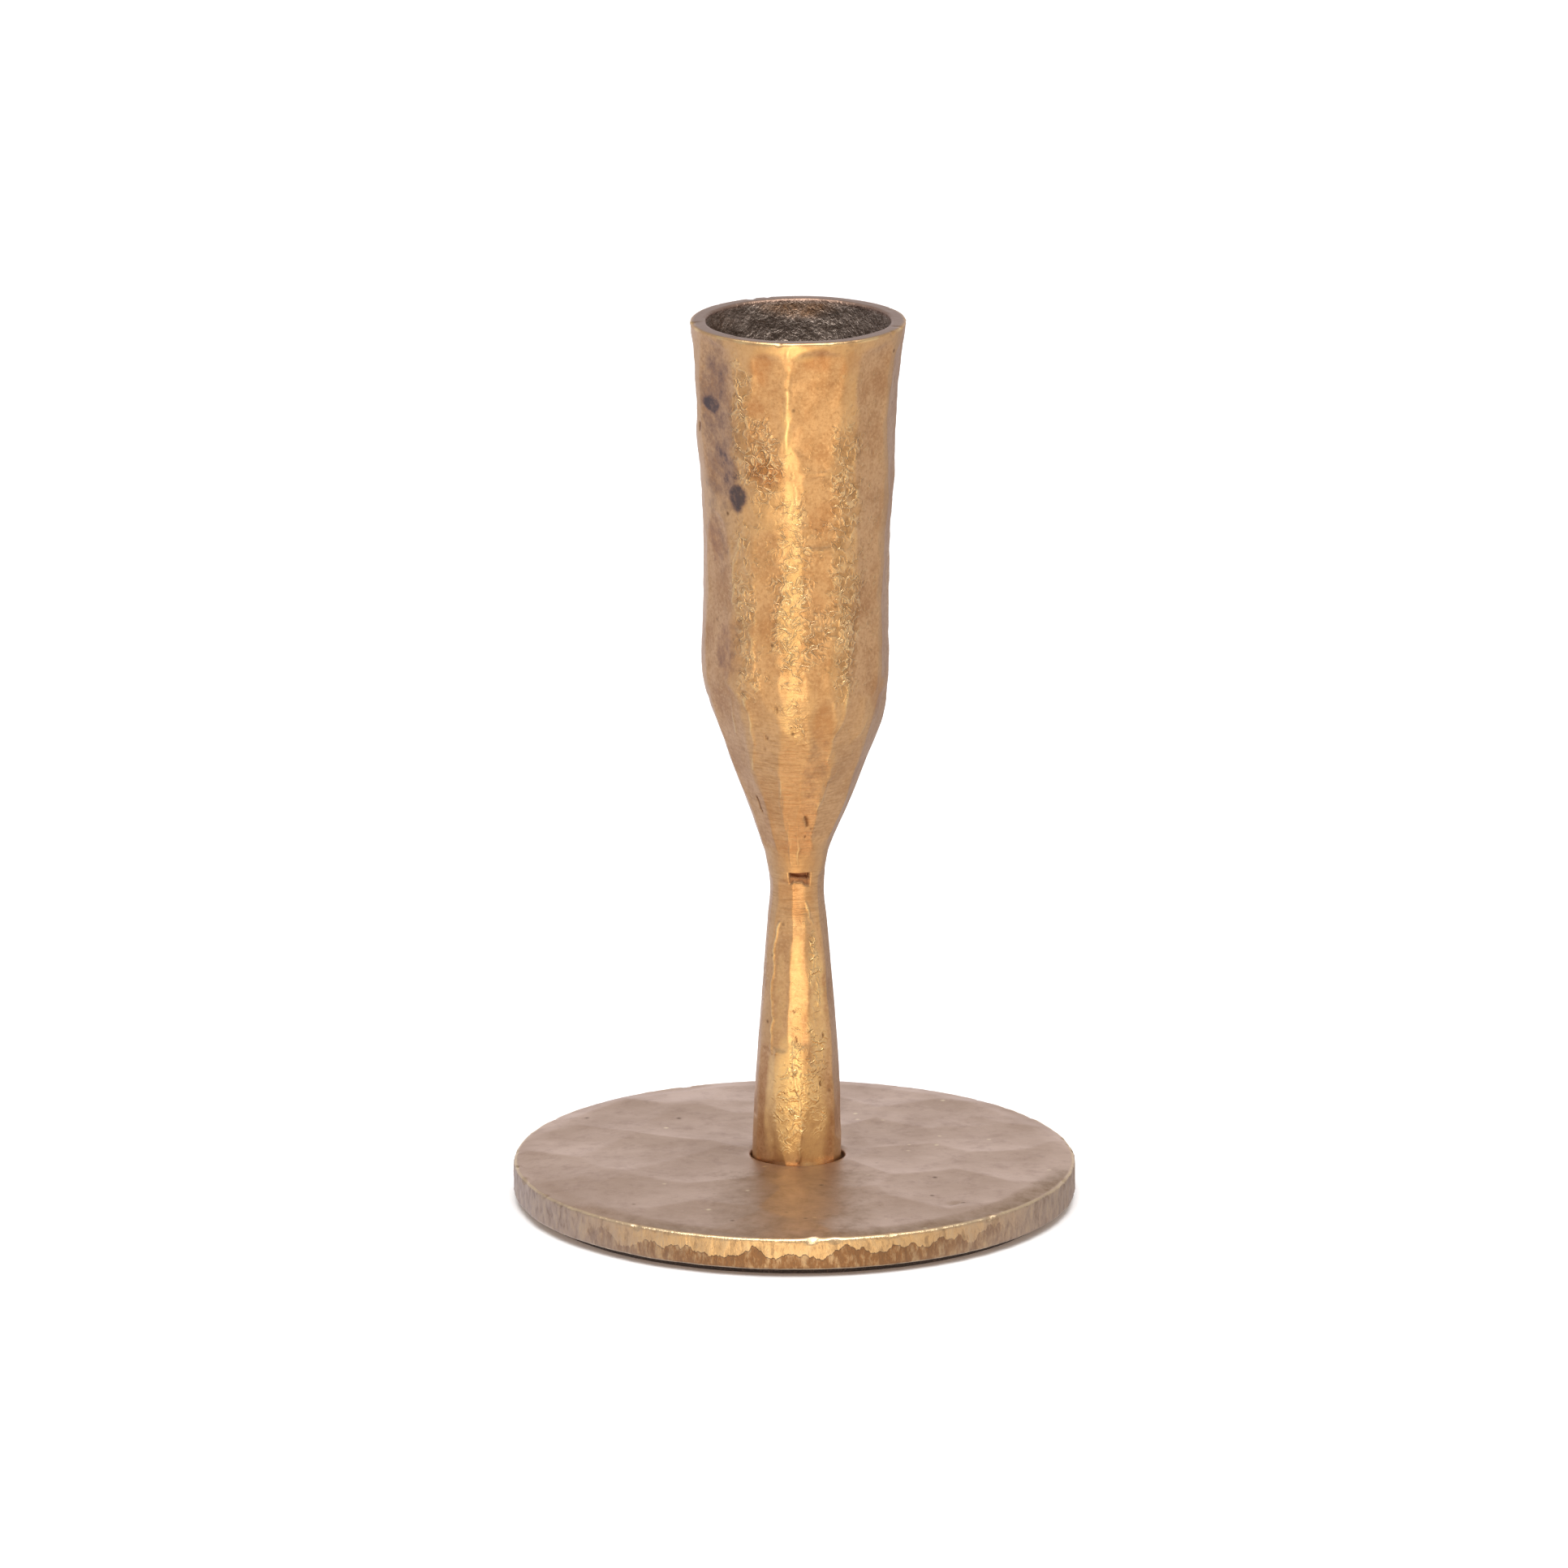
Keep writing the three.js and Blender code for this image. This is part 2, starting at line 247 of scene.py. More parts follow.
# Grains are raw skin with worm-like ridges
GRAINS = [
    (-34, 104, 9, 10, 0.75), (-22, 99, 17, 6, 0.95), (-3, 81, 15, 15, 0.75), (-4, 92, 12, 5, 0.65),
    (30, 94, 13, 13, 0.85), (32, 78, 14, 12, 0.85), (-36, 82, 11, 12, 0.65), (6, 77, 22, 5, 0.7),
    (-30, 73, 9, 7, 0.6), (-1, 64, 9, 3, 0.7), (0, 70, 10, 4, 0.55), (40, 88, 22, 26, 0.35),
    (0, 84, 40, 18, 0.25), (95, 84, 12, 16, 0.9), (168, 97, 30, 9, 1.0), (236, 94, 24, 10, 0.9),
    (135, 93, 9, 16, 0.8),
]
STEM_GRAINS = [
    (-8, 14, 28, 8, 0.62), (32, 30, 13, 8, 0.8), (30, 18, 22, 10, 0.6), (0, 26, 14, 8, 0.3),
    (150, 20, 60, 12, 0.8), (250, 30, 50, 10, 0.7),
]
# Bares are where handling has kept the metal bright. Down the front of the cup and the stem, and in the band
# under the front of the rim, they are also a painted highlight
BARES_AND_PAINTED_HIGHLIGHTS = [
    (-2, 69.5, 5, 4, 0.5), (-3, 81, 8, 12, 0.5), (-4, 93, 5, 5, 0.6), (-4, 64.5, 9, 3.2, 0.5),
    (-4, 113.4, 17, 1.2, 0.55), (-5, 103, 3, 8, 0.4), (160, 75, 12, 6, 0.5), (215, 112, 16, 2, 0.4),
]
STEM_BARES_AND_PAINTED_HIGHLIGHTS = [
    (2, 29, 15, 9, 0.5), (-3, 29, 9, 7, 0.5), (-14, 14, 28, 9, 1.2), (-40, 13, 14, 8, 0.9),
    (24, 11, 26, 9, 1.0), (34, 26, 18, 12, 0.75), (-30, 28, 14, 9, 0.35), (165, 26, 16, 10, 0.6),
    (250, 16, 14, 8, 0.4),
]
CONE_FILING = [(0, 56, 75, 13, 1.0), (180, 56, 120, 13, 0.8), (-1, 69.5, 9, 5, 1.0)]
STEM_FILING = [(0, 41, 180, 5, 1.0), (-30, 30, 25, 12, 0.4)]
# Where a patch starts to fade and where it ends, in shares of its half-width
PATCH_CORE = 0.45
PATCH_REACH = 1.3
# How far its outline strays, in millimetres, and how many degrees go with each of them
PATCH_WOBBLE = 1.3
WOBBLE_TURN = 4

# How deep the notch at the joint is, and how far the plate's recess lies to the right of its middle
NOTCH_DEPTH = 0.8
RECESS_OFFSET = 0.4

# Where the plate's edge is bare gold down to a ragged border, then the nick and the hammer blows in its top
PLATE_BARES = [(2, 4, 46, 6, 1.0), (118, 4, 34, 6, 0.8), (215, 4, 40, 6, 0.9)]
NICK_ANGLE = 43
NICK_RADIUS = 29.5
NICK_DEPTH = 0.18
BLOW_SIZE = 12
BLOW_DEPTH = 0.6

# Edges sharper than this are corners
CORNER = math.radians(50)
FELT_SECTORS = 24


def smooth(low, high, value):
    """Rises smoothly from 0 at low to 1 at high."""
    share = min(max((value - low) / (high - low), 0), 1)
    return share * share * (3 - 2 * share)


def along(points, at):
    """The height of a smooth curve through (place, height) points at a place, held level past its ends."""
    if at <= points[0][0]:
        return points[0][1]
    if at >= points[-1][0]:
        return points[-1][1]
    index = next(i for i in range(1, len(points)) if at <= points[i][0])
    (x0, y0), (x1, y1) = points[index - 1], points[index]
    before, after = points[max(index - 2, 0)], points[min(index + 1, len(points) - 1)]
    width = x1 - x0
    slope0 = (y1 - before[1]) / (x1 - before[0])
    slope1 = (after[1] - y0) / (after[0] - x0)
    t = (at - x0) / width
    return (
        y0 * (1 + 2 * t) * (1 - t) ** 2
        + y1 * t * t * (3 - 2 * t)
        + width * (slope0 * t * (1 - t) ** 2 - slope1 * t * t * (1 - t))
    )


def between(rows, at):
    """The numbers after the first in rows of (place, number, ...), blended in a straight line at a place."""
    for low, high in zip(rows, rows[1:]):
        if at <= high[0]:
            share = max((at - low[0]) / (high[0] - low[0]), 0)
            return [a + share * (b - a) for a, b in zip(low[1:], high[1:])]
    return rows[-1][1:]


def turn_between(angle, other):
    """The turn from one angle to another, from -180 to 180 degrees."""
    return (angle - other + 180) % 360 - 180


def lumps(place, size, seed):
    """Smooth noise from about -1 to 1 whose lumps are about that size in millimetres."""
    return noise.noise(Vector(place) / size + Vector((seed, 3.7 * seed, -seed)))


def rough(place, size, seed):
    """Noise like a cast or rusted skin: each octave is half as large and half as deep."""
    return sum(lumps(place, size / 2**octave, seed + octave) / 2**octave for octave in range(3)) / 1.5


# Turning and finishing


def dense(points, spacing):
    """The corners of a broken line with points added, so that none are further apart than the spacing."""
    line = [points[0]]
    for start, end in zip(points, points[1:]):
        cuts = max(1, math.ceil(math.dist(start, end) / spacing))
        line += [tuple(a + (b - a) * i / cuts for a, b in zip(start, end)) for i in range(1, cuts + 1)]
    return line


def curve(outline, low, high, spacing):
    """Points (radius, height) up an outline from one height to another."""
    cuts = math.ceil((high - low) / spacing)
    heights = [low + (high - low) * i / cuts for i in range(cuts + 1)]
    return [(along(outline, height), height) for height in heights]


def radius_of(vert):
    return math.hypot(vert.co.x, vert.co.y)


def angle_of(vert):
    return math.degrees(math.atan2(vert.co.x, -vert.co.y))


def pull(vert, distance):
    """Moves a point away from the upright axis."""
    share = 1 + distance / radius_of(vert)
    vert.co.x *= share
    vert.co.y *= share


def turned(profile, sectors):
    """A bmesh turned about the upright axis from a profile of (radius, height) points.

    It is spun in wide sectors, which are then cut finer and rounded: a fine spin takes far longer.
    """
    bm = bmesh.new()
    verts = [bm.verts.new((0, -radius, height)) for radius, height in profile]
    edges = [bm.edges.new(pair) for pair in zip(verts, verts[1:])]
    bmesh.ops.spin(bm, geom=verts + edges, cent=(0, 0, 0), axis=(0, 0, 1), angle=2 * math.pi, steps=sectors,
                   use_merge=True, use_duplicate=False)
    bmesh.ops.remove_doubles(bm, verts=bm.verts, dist=1e-4)
    around = []
    for edge in bm.edges:
        start, end = edge.verts
        if abs(radius_of(start) - radius_of(end)) < 1e-4 and abs(start.co.z - end.co.z) < 1e-4:
            around.append(edge)
    bmesh.ops.subdivide_edges(bm, edges=around, cuts=SECTOR_CUTS)
    half = math.pi / sectors
    for vert in bm.verts:
        from_middle = math.radians(angle_of(vert)) % (2 * half) - half
        vert.co.xy *= math.cos(from_middle) / math.cos(half)
    bmesh.ops.recalc_face_normals(bm, faces=bm.faces)
    return bm


def rings(bm):
    """The points of a turned bmesh by their height."""
    found = {}
    for vert in bm.verts:
        found.setdefault(vert.co.z, []).append(vert)
    return found


def masks(bm, names):
    """New layers of numbers on a bmesh's points, which its mesh keeps as attributes of those names."""
    return [bm.verts.layers.float.new(name) for name in names]


def finished(bm, name, material):
    """A smooth-shaded piece, from a bmesh in millimetres, that stands for the CAD node of its name.

    Its corners are kept sharp, so that the shading of one face doesn't bleed round them into the next.
    """
    for edge in bm.edges:
        edge.smooth = edge.calc_face_angle() < CORNER
    bmesh.ops.scale(bm, vec=(MM, MM, MM), verts=bm.verts)
    mesh = bpy.data.meshes.new(name)
    bm.to_mesh(mesh)
    bm.free()
    mesh.polygons.foreach_set("use_smooth", [True] * len(mesh.polygons))
    mesh.materials.append(material)
    piece = bpy.data.objects.new(name, mesh)
    bpy.context.scene.collection.objects.link(piece)
    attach(piece, "root")
    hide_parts(name)
    return piece


# Forging


def flats_near(flats, height):
    """The flats at a height, each as its middle, its half-width and how far inside its ends the height is."""
    near = []
    for flat in flats:
        inside = min(height - flat[0][0], flat[-1][0] - height)
        if inside > -END_WANDER:
            left, right = between(flat, height)
            near.append(((left + right) / 2, (right - left) / 2, inside))
    return near


def cuts_at(flats, angle, radius, flatness, end_wander):
    """How far each near flat lies under the round surface at an angle, the deepest first."""
    cuts = [-FLAT_MARGIN]
    for middle, half, inside in flats:
        away = turn_between(angle, middle)
        if abs(away) < half + NEAR_FLAT:
            cut = radius * flatness * (1 - math.cos(math.radians(half)) / math.cos(math.radians(away)))
            cuts.append(cut - END_RISE * (1 - smooth(0, END_RUN, inside + end_wander)))
    return sorted(cuts, reverse=True) + [-FLAT_MARGIN]


def folds_near(folds, height):
    return [fold for fold in folds if fold[2][0][1] + fold[1] > height > fold[2][-1][1] - fold[1]]


def fold_at(folds, angle, height, radius, sharpness):
    """How far the nearest fold stands out at a place, and how near the place is to its crest, from 0 to 1.

    A fold that stands in is a crack, which is drawn at its full width.
    """
    stands, nearness = 0, 0
    for rise, width, points in folds:
        across = [math.radians(turn_between(angle, point[0])) * radius for point in points]
        if min(map(abs, across)) > NEAR_FOLD:
            continue
        line = [Vector((-x, point[1] - height)) for x, point in zip(across, points)]
        for start, end in zip(line, line[1:]):
            share = min(max(-start.dot(end - start) / (end - start).length_squared, 0), 1)
            near = 1 - smooth(0, width if rise < 0 else width * sharpness, start.lerp(end, share).length)
            if near > nearness:
                stands, nearness = rise * near, near
    return stands, nearness


def patch_at(patches, angle, height):
    """The strongest of some soft-edged patches at a place."""
    strongest = 0
    for middle, middle_height, half_width, half_height, strength in patches:
        away = math.hypot(turn_between(angle, middle) / half_width, (height - middle_height) / half_height)
        if away < PATCH_REACH:
            strongest = max(strongest, strength * (1 - smooth(PATCH_CORE, PATCH_REACH, away)))
    return strongest


def forge(bm, outline, flats, folds, flatness, skin_depth, patches):
    """Works the outside of a turned bmesh into flats, folds and raw skin, and masks what each point is."""
    skin, crest, crack, *patched = masks(bm, ["skin", "crest", "crack", *patches])
    grain = bm.verts.layers.float["grain"]
    for height, ring in rings(bm).items():
        radius = along(outline, height)
        away_from_joint = smooth(0.8, 2.5, abs(height - cup_low.z))
        near_flats = flats_near(flats, height)
        near_folds = folds_near(folds, height)
        near_patches = [
            [patch for patch in kind if abs(height - patch[1]) < PATCH_REACH * patch[3] + PATCH_WOBBLE]
            for kind in patches.values()]
        for vert in ring:
            if abs(radius_of(vert) - radius) > 0.01:
                vert[skin] = 1
                continue
            angle = angle_of(vert)
            wobble = PATCH_WOBBLE * lumps(vert.co, 3, 37)
            for layer, kind in zip(patched, near_patches):
                vert[layer] = patch_at(kind, angle + WOBBLE_TURN * wobble, height + wobble)
            raw = skin_depth * (1 + 1.5 * vert[grain]) * rough(vert.co, 2.2, 1)
            wander = EDGE_WANDER * (lumps(vert.co, 5, 41) + 0.4 * lumps(vert.co, 1.6, 47))
            end_wander = END_WANDER * lumps(vert.co, 3.5, 53)
            cut, next_cut, *_ = cuts_at(near_flats, angle + wander, radius, flatness, end_wander)
            filed = FLAT_SWELL * lumps(vert.co, 6, 9) + 0.2 * FLAT_SWELL * lumps(vert.co, 1.7, 11) - cut
            jitter = 0.4 * lumps(vert.co, 2.3, 43) + 0.2 * lumps(vert.co, 0.8, 49)
            broken = smooth(-0.5, 0.25, lumps(vert.co, 3.5, 59))
            strayed = angle + math.degrees(jitter / radius)
            stands, nearness = fold_at(near_folds, strayed, height + jitter, radius, 0.35 + 0.4 * broken)
            vert[skin] = smooth(-SKIN_FADE, SKIN_FADE, filed - raw)
            rawness = smooth(-EDGE_ROUNDING, EDGE_ROUNDING, filed - raw)
            vert[crack] = nearness if stands < 0 else 0
            between_flats = 1 - smooth(0, CREST_WIDTH, cut - next_cut)
            at_edge = (1 - smooth(0, CREST_WIDTH, abs(filed - raw))) * away_from_joint
            vert[crest] = max(nearness * smooth(0, 0.03, stands) * (0.3 + 0.7 * broken), EDGE_SHINE * at_edge,
                              2 * EDGE_SHINE * between_flats * (1 - rawness))
            pull(vert, raw * rawness + filed * (1 - rawness) + stands)


# Materials

# A colour Mix node's sockets by number, because each name is there once for every kind of data
MIX_A, MIX_B, MIX_RESULT = 6, 7, 2

# The part of a layer that isn't held to one
EVERYWHERE = 1.0


def linear(hex_colour):
    """A colour in linear light from an sRGB hex string."""
    parts = [int(hex_colour[i:i + 2], 16) / 255 for i in (0, 2, 4)]
    return (*[part / 12.92 if part <= 0.04045 else ((part + 0.055) / 1.055) ** 2.4 for part in parts], 1)


def per(size):
    """The scale of a pattern on Object coordinates whose features are that size in millimetres."""
    return 1 / (size * MM)


def new_material(name):
    material = bpy.data.materials.new(name)
    material.use_nodes = True
    material.node_tree.nodes.clear()
    return material


def add(material, kind, inputs=None, **settings):
    """Adds a node. An input is a value or the socket that feeds it, and a setting is a property of it."""
    node = material.node_tree.nodes.new(kind)
    for name, value in settings.items():
        setattr(node, name, value)
    for name, value in (inputs or {}).items():
        if isinstance(value, bpy.types.NodeSocket):
            material.node_tree.links.new(value, node.inputs[name])
        else:
            node.inputs[name].default_value = value
    return node


def layered(material, colour, roughness, layers):
    """The colour and roughness of a surface under layers.

    There is none of a layer where its pattern has the first value and the most of it past the second. That is
    held to a part of the surface, and the layer's colour and roughness come last.
    """
    colour = linear(colour)
    for pattern, none_at, full_at, most, part, over, over_roughness in layers:
        ramp = add(material, "ShaderNodeMapRange", {
            "Value": pattern, "From Min": none_at, "From Max": full_at, "To Max": most}).outputs["Result"]
        share = add(material, "ShaderNodeMath", {0: ramp, 1: part}, operation="MULTIPLY").outputs[0]
        colour = add(material, "ShaderNodeMix", {0: share, MIX_A: colour, MIX_B: linear(over)},
                     data_type="RGBA").outputs[MIX_RESULT]
        roughness = add(material, "ShaderNodeMix", {0: share, 2: roughness, 3: over_roughness}).outputs[0]
    return colour, roughness


def embossed(material, reliefs):
    """The normal of a surface with reliefs in it, each of them a height, its strength and its depth in mm."""
    inputs = {}
    for height, strength, depth in reliefs:
        inputs.update({"Height": height, "Strength": strength, "Distance": depth * MM})
        inputs["Normal"] = add(material, "ShaderNodeBump", inputs).outputs["Normal"]
    return inputs["Normal"]


def metal(material, colour, roughness, normal):
    """Ends a metal's material with its shader."""
    shader = add(material, "ShaderNodeBsdfPrincipled", {
        "Base Color": colour, "Metallic": 1.0, "Roughness": roughness, "Normal": normal})
    add(material, "ShaderNodeOutputMaterial", {"Surface": shader.outputs["BSDF"]})


def forged_brass():
    """Forged, filed and handled brass.

    It gives smooth tan-gold flats with soft brown blotches and painted glints, yellower grainy skin between
    them with painted shade in its hollows and a painted highlight on its tops, pale worn crests, handled
    metal kept bright and partly painted with a highlight down the front, fine file marks round the cone,
    purple-brown and blue-grey oxide, and a dark crumbly socket with painted shade in its hollows and a
    painted highlight on its tops.
    """
    material = new_material("forged brass")
    place = add(material, "ShaderNodeTexCoord").outputs["Object"]
    long_ways = add(material, "ShaderNodeMapping", {
        "Vector": place, "Scale": (0.14, 0.14, 1)}).outputs["Vector"]
    skin, crest, crack, stain, red, grain, filed, bare, inside, lip, notch = [
        add(material, "ShaderNodeAttribute", attribute_name=mask).outputs["Fac"]
        for mask in ("skin", "crest", "crack", "stain", "red", "grain", "filed", "bare", "inside", "lip",
                     "notch")]
    blotch, mottle, speckle, crumbs, curl_field, strokes = [
        add(material, "ShaderNodeTexNoise", {
            "Vector": vector, "Scale": per(size), "Detail": detail, "Roughness": roughness,
            "Distortion": distortion}).outputs["Fac"]
        for vector, size, detail, roughness, distortion in [
            (place, 5, 6, 0.68, 0), (place, 1.5, 5, 0.7, 0), (place, 0.4, 2, 0.6, 0),
            (place, 0.6, 3, 0.65, 0.8), (place, 1.2, 1, 0.5, 1), (long_ways, 0.28, 2, 0.6, 0)]]
    pit_cells = add(material, "ShaderNodeTexVoronoi", {"Vector": place, "Scale": per(2.6)}).outputs
    pitted = add(material, "ShaderNodeMath", {
        0: pit_cells["Color"], 1: 0.68}, operation="GREATER_THAN").outputs[0]

    # Worm-like ridges run where a noise passes through its middle value
    off_middle = add(material, "ShaderNodeMath", {0: curl_field, 1: 0.5}, operation="SUBTRACT").outputs[0]
    from_middle = add(material, "ShaderNodeMath", {0: off_middle}, operation="ABSOLUTE").outputs[0]
    curls = add(material, "ShaderNodeMapRange", {
        "Value": from_middle, "From Min": 0.11, "From Max": 0.0}).outputs["Result"]

    # The masks are soft, so the mottle breaks them up before they are used, which frays their borders
    fray = add(material, "ShaderNodeMath", {0: mottle, 1: 2.6, 2: -1.3}, operation="MULTIPLY_ADD").outputs[0]
    less_fray = add(material, "ShaderNodeMath", {0: fray, 1: 0.7}, operation="MULTIPLY").outputs[0]
    frayed_skin, frayed_grain, frayed_stain = [
        add(material, "ShaderNodeMath", {0: mask, 1: added}, operation="ADD").outputs[0]
        for mask, added in [(skin, fray), (grain, fray), (stain, less_fray)]]
    frayed_red, frayed_crest, mottled_bare_and_highlight = [
        add(material, "ShaderNodeMath", {0: mask, 1: mottle}, operation="MULTIPLY").outputs[0]
        for mask in (red, crest, bare)]
    grainy = add(material, "ShaderNodeMapRange", {
        "Value": frayed_grain, "From Min": 0.25, "From Max": 1.1}).outputs["Result"]

    colour, roughness = layered(material, "c8a074", 0.36, [
        # Blotches, freckles and dark specks of handled metal, then glints that are a painted highlight
        (blotch, 0.45, 0.64, 0.7, EVERYWHERE, "a97c53", 0.42),
        (mottle, 0.5, 0.7, 0.6, EVERYWHERE, "a87e56", 0.4),
        (speckle, 0.52, 0.68, 0.45, EVERYWHERE, "9c754f", 0.42),
        (speckle, 0.46, 0.32, 0.45, EVERYWHERE, "d4b083", 0.34),
        # Yellower raw skin, then freshly filed metal and the file's lines
        (frayed_skin, 0.1, 1, 0.55, EVERYWHERE, "cfa977", 0.4),
        (filed, 0, 1, 0.3, EVERYWHERE, "d2ae80", 0.36),
        (strokes, 0.45, 0.7, 0.5, filed, "a27a50", 0.42),
        # Copper reds from the fire
        (frayed_red, 0.08, 0.5, 0.85, EVERYWHERE, "ac774c", 0.4),
        # Painted shade in the hollows of grainy skin, and a painted highlight on its tops
        (curls, 0.35, 0, 0.6, grainy, "9a7044", 0.46),
        (curls, 0.6, 0.95, 0.7, grainy, "e6cc9a", 0.32),
        # Metal kept bright by handling, partly a painted highlight down the front, and worn crests
        (mottled_bare_and_highlight, 0.1, 0.52, 1, EVERYWHERE, "eac488", 0.34),
        (frayed_crest, 0.16, 0.6, 0.75, EVERYWHERE, "e4c892", 0.32),
        # Brown oxide, with blue-grey oxide where it is thick
        (frayed_stain, 0.2, 0.95, 0.85, EVERYWHERE, "866a5a", 0.42),
        (frayed_stain, 0.85, 1.25, 0.85, EVERYWHERE, "514a4c", 0.5),
        # Pits and cracks
        (pit_cells["Distance"], 0.14, 0.04, 0.7, pitted, "5a3e2a", 0.6),
        (crack, 0, 1, 1, EVERYWHERE, "7a5438", 0.6),
        # The cast socket with painted shade in its hollows, a painted highlight on its tops and its reds,
        # then the browned lip and the notch
        (inside, 0, 1, 1, EVERYWHERE, "a8988c", 0.48),
        (crumbs, 0.52, 0.36, 0.7, inside, "5e4c40", 0.7),
        (speckle, 0.56, 0.7, 0.8, inside, "d0c0b2", 0.38),
        (frayed_red, 0.08, 0.5, 0.85, inside, "9c7048", 0.5),
        (lip, 0, 1, 1, EVERYWHERE, "8e7566", 0.42),
        (notch, 0, 1, 1, EVERYWHERE, "8e6044", 0.55),
    ])
    crumbly = add(material, "ShaderNodeMath", {
        0: grainy, 1: 0.7, 2: inside}, operation="MULTIPLY_ADD").outputs[0]
    normal = embossed(material, [
        (mottle, 0.6, 0.05),
        (speckle, 0.45, 0.022),
        (crumbs, crumbly, 0.25),
        (curls, grainy, 0.13),
        (strokes, filed, 0.05),
    ])
    metal(material, colour, roughness, normal)
    return material


def browned_plate_brass():
    """Hammered brass plate, browned by heat and age and sheared at its edge.

    It gives a satin mauve-brown top with soft cloudy streaks, and painted shade that browns it in front of
    the stem, inside the front edge and in the nick. It has small pits and bright specks. A worn line runs
    along both corners.
    The edge is a streaky grey-tan, with stretches where its upper part is bare gold down to a ragged border.
    """
    material = new_material("browned plate brass")
    place = add(material, "ShaderNodeTexCoord").outputs["Object"]
    flat_place, upright = [
        add(material, "ShaderNodeMapping", {"Vector": place, "Scale": scale}).outputs["Vector"]
        for scale in [(1, 1, 0), (1, 1, 0.4)]]
    wall, corner, band, bare = [
        add(material, "ShaderNodeAttribute", attribute_name=mask).outputs["Fac"]
        for mask in ("wall", "corner", "band", "bare")]
    clouds, mottle, grit, torn, shear = [
        add(material, "ShaderNodeTexNoise", {
            "Vector": vector, "Scale": per(size), "Detail": detail, "Roughness": roughness}).outputs["Fac"]
        for vector, size, detail, roughness in [
            (place, 11, 5, 0.6), (place, 2.2, 5, 0.7), (place, 0.5, 3, 0.7), (flat_place, 4, 4, 0.6),
            (upright, 0.8, 4, 0.65)]]
    cells = add(material, "ShaderNodeTexVoronoi", {"Vector": place, "Scale": per(3.5)}).outputs
    pitted, scuffed = [
        add(material, "ShaderNodeMath", {0: cells["Color"], 1: limit}, operation=operation).outputs[0]
        for limit, operation in [(0.62, "GREATER_THAN"), (0.36, "LESS_THAN")]]

    # The border between the bare and the browned part of the edge climbs and falls by about a millimetre
    height = add(material, "ShaderNodeSeparateXYZ", {"Vector": place}).outputs["Z"]
    border = add(material, "ShaderNodeMapRange", {
        "Value": torn, "From Min": 0.3, "From Max": 0.7, "To Min": (plate_low.z + 0.6) * MM,
        "To Max": (plate_low.z + 3.4) * MM}).outputs["Result"]
    above = add(material, "ShaderNodeMath", {0: height, 1: border}, operation="SUBTRACT").outputs[0]
    upper = add(material, "ShaderNodeMapRange", {
        "Value": above, "From Min": -0.06 * MM, "From Max": 0.06 * MM}).outputs["Result"]
    frayed_painted_shade, frayed_corner = [
        add(material, "ShaderNodeMath", {0: mask, 1: mottle}, operation="MULTIPLY").outputs[0]
        for mask in (band, corner)]

    colour, roughness = layered(material, "b59882", 0.4, [
        # Clouds, freckles and dust on the top, and its brown zones
        (clouds, 0.4, 0.62, 0.8, EVERYWHERE, "cbae98", 0.34),
        (mottle, 0.5, 0.7, 0.5, EVERYWHERE, "a08272", 0.46),
        (grit, 0.55, 0.75, 0.45, EVERYWHERE, "c6aa96", 0.4),
        # Clouds, freckles and dust on the top, then painted shade: browner along the front edge, in front of
        # the stem and in the nick
        (frayed_painted_shade, 0.15, 0.6, 0.8, EVERYWHERE, "8c7052", 0.45),
        # Pits and bright specks
        (cells["Distance"], 0.12, 0.03, 0.75, pitted, "46301f", 0.6),
        (cells["Distance"], 0.12, 0.03, 0.75, scuffed, "f0dcb4", 0.3),
        # The edge, bare above the border and browned under it, with its light and dark streaks
        (wall, 0, 1, 1, EVERYWHERE, "b09a86", 0.45),
        (upper, 0, 1, 1, bare, "ccaa7e", 0.4),
        (upper, 1, 0, 1, bare, "8f6a4a", 0.55),
        (shear, 0.48, 0.66, 0.55, wall, "c8b08e", 0.38),
        (shear, 0.48, 0.32, 0.5, wall, "7c6450", 0.55),
        # Worn corners
        (frayed_corner, 0.25, 0.55, 0.7, EVERYWHERE, "dec6a0", 0.34),
    ])
    gritty = add(material, "ShaderNodeMath", {0: wall, 1: 0.75, 2: 0.15}, operation="MULTIPLY_ADD").outputs[0]
    normal = embossed(material, [
        (mottle, 0.5, 0.03),
        (grit, gritty, 0.08),
        (shear, wall, 0.12),
        (upper, bare, 0.1),
    ])
    metal(material, colour, roughness, normal)
    return material


def turned_screw_brass():
    """A bought brass machine screw: bright, with fine rings from the lathe and a little brown haze."""
    material = new_material("turned screw brass")
    place = add(material, "ShaderNodeTexCoord").outputs["Object"]
    turnings = add(material, "ShaderNodeTexWave", {
        "Vector": place, "Scale": per(0.5), "Distortion": 0.4},
        wave_type="RINGS", rings_direction="Z").outputs["Fac"]
    haze = add(material, "ShaderNodeTexNoise", {
        "Vector": place, "Scale": per(1.2), "Detail": 4.0}).outputs["Fac"]
    colour, roughness = layered(material, "cfa968", 0.28, [
        (haze, 0.45, 0.75, 0.7, EVERYWHERE, "a67c4c", 0.42),
    ])
    metal(material, colour, roughness, embossed(material, [(turnings, 0.4, 0.01)]))
    return material


